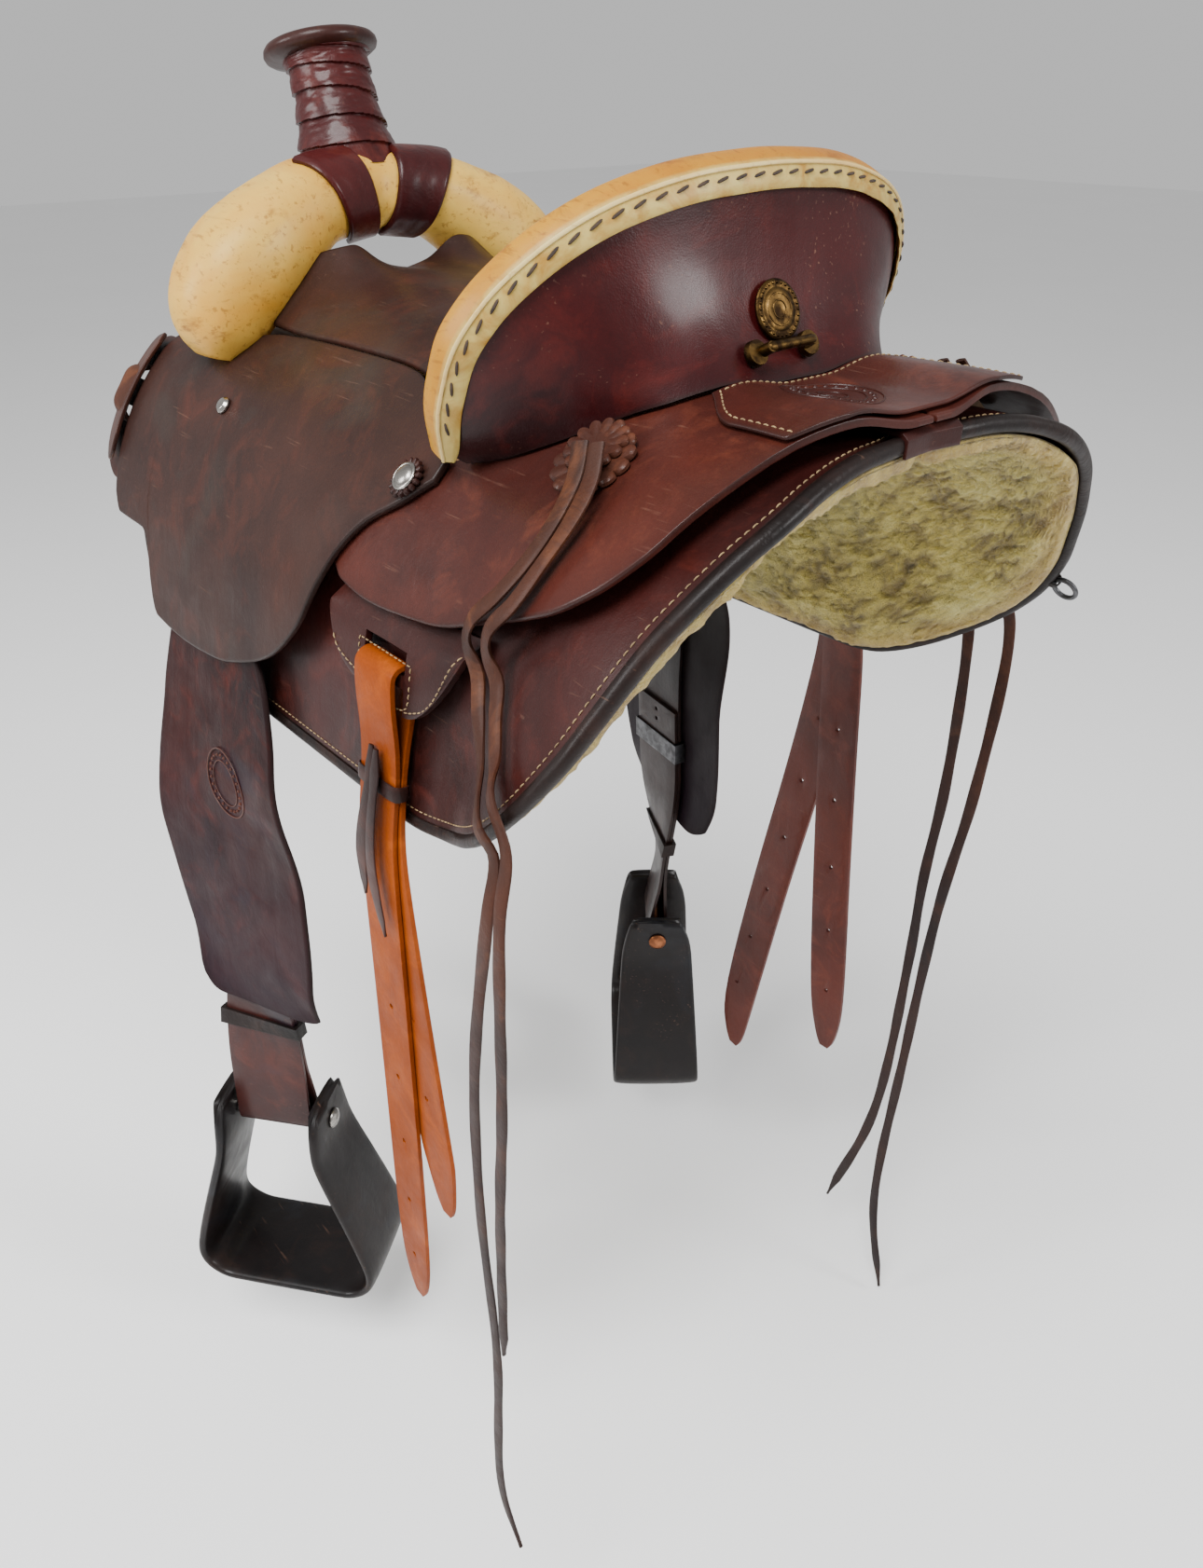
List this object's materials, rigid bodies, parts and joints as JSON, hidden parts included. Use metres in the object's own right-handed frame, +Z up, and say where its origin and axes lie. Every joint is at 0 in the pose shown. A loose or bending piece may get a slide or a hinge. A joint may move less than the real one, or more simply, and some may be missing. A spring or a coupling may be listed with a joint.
{
  "type": "western saddle",
  "caption": "Western roping-style saddle with rawhide fork and cantle rim, leather seat, jockeys, fleece-lined skirts, swinging fenders, stirrups and rear billets.",
  "frame": {"origin": "the ridge of the fleece on the centre plane, where the saddle rests on the back of the animal", "axes": "+Z up, -Y towards the horn (front), +X the left (near) side"},
  "size_m": [0.7124, 0.725, 1.2449],
  "materials": {
    "wood": "plain wood, unfinished",
    "rawhide": "cream-yellow rawhide with brown streaks",
    "horn": "dark brown leather cap, worn at the rim",
    "edge": "black-brown rolled edge, matte",
    "seat": "smooth oiled leather, satin",
    "oxblood": "glossy dark oxblood leather with fine scratches",
    "binding": "amber rawhide, laced",
    "brass": "aged brass",
    "jockey": "red-brown satin leather",
    "skirt": "dark oxblood leather, satin",
    "fleece": "dense woolly fleece, matte",
    "thong": "dark brown latigo leather",
    "silver": "polished silver plate",
    "steel": "grey steel, satin",
    "fender": "burgundy-brown leather, satin",
    "stirrup": "near-black leather-covered wood",
    "tan": "bright orange-tan harness leather",
    "mahogany": "red-brown harness leather"
  },
  "bodies": {
    "tree": {"tree_bar_left": "wood", "tree_bar_right": "wood", "fork": "rawhide", "horn_wrap": "horn", "horn": "horn", "horn_wrap_strap_left": "horn", "horn_wrap_strap_right": "horn", "ground_seat": "edge", "seat_leather": "seat", "seat_jockey_left": "seat", "seat_jockey_right": "seat", "cantle_board": "wood", "cantle_back": "oxblood", "cantle_binding": "binding", "cantle_medallion": "brass", "footman_loop": "brass", "back_jockey_left": "jockey", "back_jockey_right": "jockey", "jockey_overlay": "jockey", "skirt_left": "skirt", "skirt_right": "skirt", "fleece_left": "fleece", "fleece_right": "fleece", "skirt_edge": "edge", "skirt_rear_wrap": "skirt", "rear_rigging_plate_left": "skirt", "rear_rigging_plate_right": "skirt", "front_rigging_plate_left": "skirt", "front_rigging_plate_right": "skirt", "rear_rosette_left": "thong", "rear_rosette_right": "thong", "seat_rosette_left": "thong", "seat_rosette_right": "thong", "seat_concho_left": "silver", "seat_concho_right": "silver", "front_screw_left": "silver", "front_screw_right": "silver", "latigo_keeper_left": "thong", "latigo_keeper_right": "thong", "stirrup_stud_left": "steel", "stirrup_stud_right": "steel", "rear_string_left_a": "thong", "rear_string_left_b": "thong", "rear_string_right_a": "thong", "rear_string_right_b": "thong"},
    "left_fender": {"fender_left": "fender", "stirrup_leather_left": "fender", "hobble_strap_left": "edge"},
    "left_buckle": {"buckle_sleeve_left": "steel"},
    "left_stirrup": {"stirrup_left": "stirrup", "stirrup_bolt_left": "steel"},
    "left_billet": {"rear_billet_left": "tan", "billet_keeper_left": "thong"},
    "right_fender": {"fender_right": "fender", "stirrup_leather_right": "fender", "hobble_strap_right": "edge"},
    "right_buckle": {"buckle_sleeve_right": "steel"},
    "right_stirrup": {"stirrup_right": "stirrup", "stirrup_bolt_right": "steel"},
    "right_billet": {"rear_billet_right": "mahogany"}
  },
  "joints": [
    {"name": "left_fender_swing", "type": "hinge", "parent": "tree", "child": "left_fender", "pos_m": [0.21134, -0.125, -0.10321], "axis": [0.9848, 0, 0.1736], "range_deg": [-25, 8]},
    {"name": "left_buckle_slide", "type": "slide", "parent": "left_fender", "child": "left_buckle", "axis": [-0.0436, 0, 0.999], "range_m": [0, 0.028]},
    {"name": "left_stirrup_pivot", "type": "hinge", "parent": "left_fender", "child": "left_stirrup", "pos_m": [0.25436, -0.1319, -0.70226], "axis": [0.6293, -0.7771, 0], "range_deg": [-25, 25]},
    {"name": "left_rear_billet_swing", "type": "hinge", "parent": "tree", "child": "left_billet", "pos_m": [0.21933, 0.127, -0.12719], "axis": [0, 1, 0], "range_deg": [-60, 0]},
    {"name": "right_fender_swing", "type": "hinge", "parent": "tree", "child": "right_fender", "pos_m": [-0.21134, -0.125, -0.10321], "axis": [0.9848, 0, -0.1736], "range_deg": [-25, 4]},
    {"name": "right_buckle_slide", "type": "slide", "parent": "right_fender", "child": "right_buckle", "axis": [0.0436, 0, 0.999], "range_m": [0, 0.028]},
    {"name": "right_stirrup_pivot", "type": "hinge", "parent": "right_fender", "child": "right_stirrup", "pos_m": [-0.25436, -0.1319, -0.70226], "axis": [0.6293, 0.7771, 0], "range_deg": [-25, 25]},
    {"name": "right_rear_billet_swing", "type": "hinge", "parent": "tree", "child": "right_billet", "pos_m": [-0.21933, 0.127, -0.12719], "axis": [0, -1, 0], "range_deg": [-60, 0]}
  ]
}
